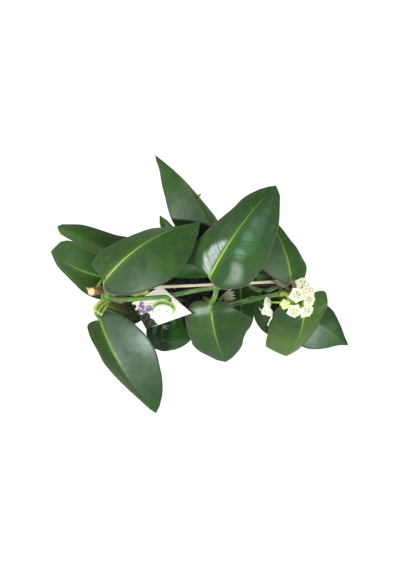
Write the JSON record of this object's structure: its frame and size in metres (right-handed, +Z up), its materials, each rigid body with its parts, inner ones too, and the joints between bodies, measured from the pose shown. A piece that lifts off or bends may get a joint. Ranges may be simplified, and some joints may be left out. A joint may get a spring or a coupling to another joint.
{
  "type": "potted hoya plant",
  "caption": "Free-standing potted hoya: twining stems with large waxy leaves on a small wooden trellis, an umbel of pale star flowers, a care card on a stake and a plastic nursery pot.",
  "frame": {"origin": "centre of the pot's underside, on the surface that it stands on", "axes": "+Z up along the pot's axis, +X along the trellis towards the flowers, +Y to the back of the plant"},
  "size_m": [0.2881, 0.2445, 0.3114],
  "materials": {
    "pot": "matt black moulded plastic",
    "soil": "damp dark potting mix, crumbly",
    "cane": "peeled willow cane, reddish-brown side and pale cut end",
    "rung": "pale split wood",
    "stem": "green stem, slightly bark-like",
    "leaf": "dark waxy green, glossy, with a lime midrib and a pale edge",
    "card": "smooth coated card with a soft printed pattern",
    "flower_stalk": "yellow-green, slightly fleshy",
    "petal": "cream wax with a purple-brown crown",
    "bud": "pale green wax",
    "withered": "limp, off-white",
    "dried": "dry, beige-grey"
  },
  "bodies": {
    "root": {"pot": "pot", "soil": "soil", "cane_left": "cane", "cane_right": "cane", "rung_1": "rung", "rung_2": "rung", "rung_3": "rung", "vine_left": "stem", "vine_centre": "stem", "vine_right": "stem", "vine_back": "stem", "vine_right_cane": "stem", "leaf_upper_left": "leaf", "leaf_front_left": "leaf", "leaf_upper_centre": "leaf", "leaf_front_centre": "leaf", "leaf_right_back": "leaf", "leaf_right_front": "leaf", "leaf_far_right": "leaf", "leaf_far_left_back": "leaf", "leaf_far_left": "leaf", "leaf_back": "leaf", "leaf_under_label": "leaf", "leaf_right_shade": "leaf", "leaf_centre_shade": "leaf", "leaf_middle": "leaf", "leaf_small_back": "leaf", "leaf_left_shade": "leaf", "leaf_right_middle": "leaf", "leaf_lower_left": "leaf", "leaf_lower_front_left": "leaf", "leaf_lower_right": "leaf", "leaf_lower_back": "leaf", "leaf_lower_back_right": "leaf", "leaf_lower_front": "leaf", "care_card": "card", "umbel_stalk": "flower_stalk", "floret_1": "petal", "floret_2": "petal", "floret_3": "petal", "floret_4": "petal", "floret_5": "petal", "floret_6": "petal", "flower_bud": "bud", "withered_floret": "withered", "dried_flower": "dried"}
  },
  "joints": []
}
